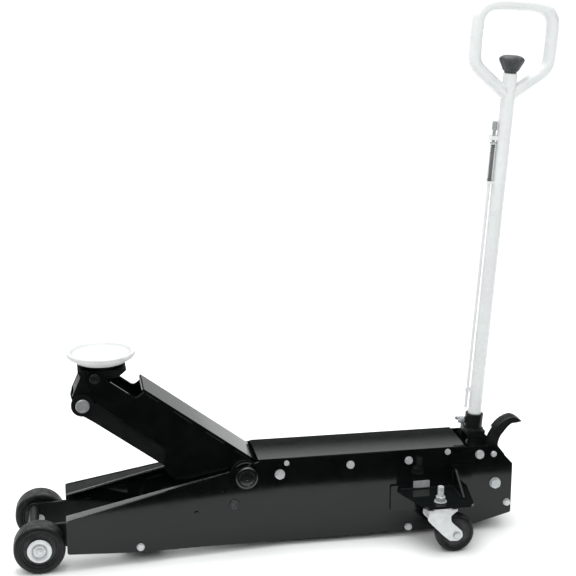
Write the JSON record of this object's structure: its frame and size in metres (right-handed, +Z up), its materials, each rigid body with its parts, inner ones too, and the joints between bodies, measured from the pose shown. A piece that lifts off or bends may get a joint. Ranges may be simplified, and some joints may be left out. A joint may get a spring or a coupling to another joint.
{
  "type": "hydraulic floor jack",
  "caption": "Long wheeled floor jack with a hinged lifting arm, level saddle, hydraulic ram, upright pumping handle, foot pedal and swivel rear casters.",
  "frame": {"origin": "on the floor under the middle of the overall box", "axes": "+X towards the handle end, the lifting end is at -X; +Z up; -Y is the side with the foot pedal"},
  "size_m": [1.3844, 0.406, 1.3763],
  "materials": {
    "gloss_black_paint": "gloss powder coat",
    "frame_black_paint": "semi-gloss paint",
    "zinc_fasteners": "bright zinc plate",
    "wheel_rubber": "matt moulded tread",
    "pin_steel": "turned, lightly oiled",
    "saddle_light_paint": "light satin paint",
    "cylinder_paint": "gloss enamel",
    "polished_steel": "polished",
    "handle_white_paint": "gloss powder coat",
    "spring_steel": "dark oiled wire",
    "knob_plastic": "moulded, satin"
  },
  "bodies": {
    "chassis": {"side_plate_right": "gloss_black_paint", "side_plate_left": "gloss_black_paint", "top_cover": "gloss_black_paint", "front_subframe": "frame_black_paint", "front_axle_bolt_left": "zinc_fasteners", "front_axle_bolt_right": "zinc_fasteners", "front_tie_bolt": "zinc_fasteners", "arm_stop_bolt": "zinc_fasteners", "cover_bolt_front": "zinc_fasteners", "frame_bolt_middle": "zinc_fasteners", "frame_bolt_rear": "zinc_fasteners", "frame_bolt_lower": "zinc_fasteners", "cover_bolt_rear": "zinc_fasteners", "pump_mount_bolt": "zinc_fasteners", "rear_tie_bolt": "zinc_fasteners", "rear_cross_plate": "frame_black_paint", "arm_pivot_shaft": "pin_steel", "rod_pivot_pin_left": "pin_steel", "rod_pivot_pin_right": "pin_steel", "hydraulic_cylinder": "cylinder_paint", "pump_block": "frame_black_paint", "caster_bracket_right": "gloss_black_paint", "caster_bracket_left": "gloss_black_paint", "caster_king_bolt_right": "zinc_fasteners", "caster_king_bolt_left": "zinc_fasteners", "handle_pivot_bolt_left": "zinc_fasteners", "handle_pivot_bolt_right": "zinc_fasteners", "foot_pedal_pin": "zinc_fasteners", "pump_plunger_spring": "spring_steel", "foot_plunger_spring": "spring_steel"},
    "lift_arm": {"lift_arm": "gloss_black_paint", "saddle_pin": "pin_steel"},
    "yoke": {"saddle_yoke": "gloss_black_paint", "rod_front_pin": "pin_steel"},
    "radius_rods": {"radius_rod_left": "gloss_black_paint", "radius_rod_right": "gloss_black_paint"},
    "saddle": {"saddle": "saddle_light_paint"},
    "ram": {"ram_head": "pin_steel", "ram_rod": "polished_steel", "return_spring_left": "spring_steel", "return_spring_right": "spring_steel"},
    "front_wheel_left": {"front_wheel_left": "wheel_rubber"},
    "front_wheel_right": {"front_wheel_right": "wheel_rubber"},
    "caster_left": {"caster_fork_left": "zinc_fasteners", "caster_axle_left": "zinc_fasteners"},
    "caster_right": {"caster_fork_right": "zinc_fasteners", "caster_axle_right": "zinc_fasteners"},
    "caster_wheel_left": {"caster_wheel_left": "wheel_rubber"},
    "caster_wheel_right": {"caster_wheel_right": "wheel_rubber"},
    "handle": {"handle_socket": "frame_black_paint", "handle": "handle_white_paint", "lock_rod_spring": "spring_steel"},
    "pump_plunger": {"pump_plunger": "polished_steel"},
    "foot_pedal": {"foot_pedal": "gloss_black_paint"},
    "foot_plunger": {"foot_plunger": "polished_steel"},
    "release_control": {"release_knob": "knob_plastic", "release_rod": "pin_steel"},
    "valve": {"release_valve_stem": "pin_steel"},
    "clamp": {"handle_clamp_screw": "pin_steel"},
    "lock": {"lock_rod": "pin_steel"}
  },
  "joints": [
    {"name": "arm_lift", "type": "hinge", "parent": "chassis", "child": "lift_arm", "pos_m": [-0.11069, 0, 0.201], "axis": [0, 1, 0], "range_deg": [-46, 14]},
    {"name": "yoke_level", "type": "hinge", "parent": "lift_arm", "child": "yoke", "pos_m": [-0.47822, 0, 0.47395], "axis": [0, 1, 0], "range_deg": [-14, 46]},
    {"name": "radius_rod_swing", "type": "hinge", "parent": "chassis", "child": "radius_rods", "pos_m": [-0.14269, 0, 0.13], "axis": [0, 1, 0], "range_deg": [-46, 14]},
    {"name": "saddle_turn", "type": "hinge", "parent": "yoke", "child": "saddle", "pos_m": [-0.45969, 0, 0.5], "axis": [0, 0, 1], "continuous": true},
    {"name": "ram_slide", "type": "slide", "parent": "chassis", "child": "ram", "axis": [-1, 0, 0], "range_m": [-0.055, 0.017]},
    {"name": "front_wheel_left_spin", "type": "hinge", "parent": "chassis", "child": "front_wheel_left", "pos_m": [-0.62869, 0.1, 0.0635], "axis": [0, 1, 0], "continuous": true},
    {"name": "front_wheel_right_spin", "type": "hinge", "parent": "chassis", "child": "front_wheel_right", "pos_m": [-0.62869, -0.1, 0.0635], "axis": [0, 1, 0], "continuous": true},
    {"name": "caster_left_swivel", "type": "hinge", "parent": "chassis", "child": "caster_left", "pos_m": [0.37231, 0.17, 0.12], "axis": [0, 0, 1], "continuous": true},
    {"name": "caster_right_swivel", "type": "hinge", "parent": "chassis", "child": "caster_right", "pos_m": [0.37231, -0.17, 0.12], "axis": [0, 0, 1], "continuous": true},
    {"name": "caster_wheel_left_spin", "type": "hinge", "parent": "caster_left", "child": "caster_wheel_left", "pos_m": [0.41031, 0.17, 0.05], "axis": [0, 1, 0], "continuous": true},
    {"name": "caster_wheel_right_spin", "type": "hinge", "parent": "caster_right", "child": "caster_wheel_right", "pos_m": [0.41031, -0.17, 0.05], "axis": [0, 1, 0], "continuous": true},
    {"name": "handle_pump", "type": "hinge", "parent": "chassis", "child": "handle", "pos_m": [0.50531, 0, 0.215], "axis": [0, 1, 0], "range_deg": [0, 58]},
    {"name": "pump_stroke", "type": "slide", "parent": "chassis", "child": "pump_plunger", "axis": [0, 0, -1], "range_m": [0, 0.0236], "deforming": ["pump_plunger_spring"]},
    {"name": "pedal_press", "type": "hinge", "parent": "chassis", "child": "foot_pedal", "pos_m": [0.54331, -0.05, 0.214], "axis": [0, 1, 0], "range_deg": [0, 25], "stiffness_Nm_per_rad": 6, "springref_deg": -17.19},
    {"name": "foot_stroke", "type": "slide", "parent": "chassis", "child": "foot_plunger", "axis": [0, 0, -1], "range_m": [0, 0.0117], "deforming": ["foot_plunger_spring"]},
    {"name": "release_turn", "type": "hinge", "parent": "handle", "child": "release_control", "pos_m": [0.50531, 0, 0.215], "axis": [0.068, 0, 0.9977], "range_deg": [0, 120]},
    {"name": "valve_turn", "type": "hinge", "parent": "chassis", "child": "valve", "pos_m": [0.50531, 0, 0.16], "axis": [0, 0, 1], "range_deg": [0, 120]},
    {"name": "clamp_turn", "type": "hinge", "parent": "handle", "child": "clamp", "pos_m": [0.51007, 0, 0.28484], "axis": [0.9977, 0, -0.068], "range_deg": [0, 360]},
    {"name": "lock_slide", "type": "slide", "parent": "handle", "child": "lock", "axis": [0.068, 0, 0.9977], "range_m": [-0.012, 0], "stiffness_N_per_m": 500, "springref_m": 0.02, "deforming": ["lock_rod_spring"]}
  ],
  "couplings": [
    {"joint": "yoke_level", "follows": "arm_lift", "ratio": -1},
    {"joint": "radius_rod_swing", "follows": "arm_lift", "ratio": 1},
    {"joint": "ram_slide", "follows": "arm_lift", "m_per_rad": 0.067},
    {"joint": "pump_stroke", "follows": "handle_pump", "m_per_rad": 0.023},
    {"joint": "foot_stroke", "follows": "pedal_press", "m_per_rad": 0.0264},
    {"joint": "valve_turn", "follows": "release_turn", "ratio": 1}
  ]
}
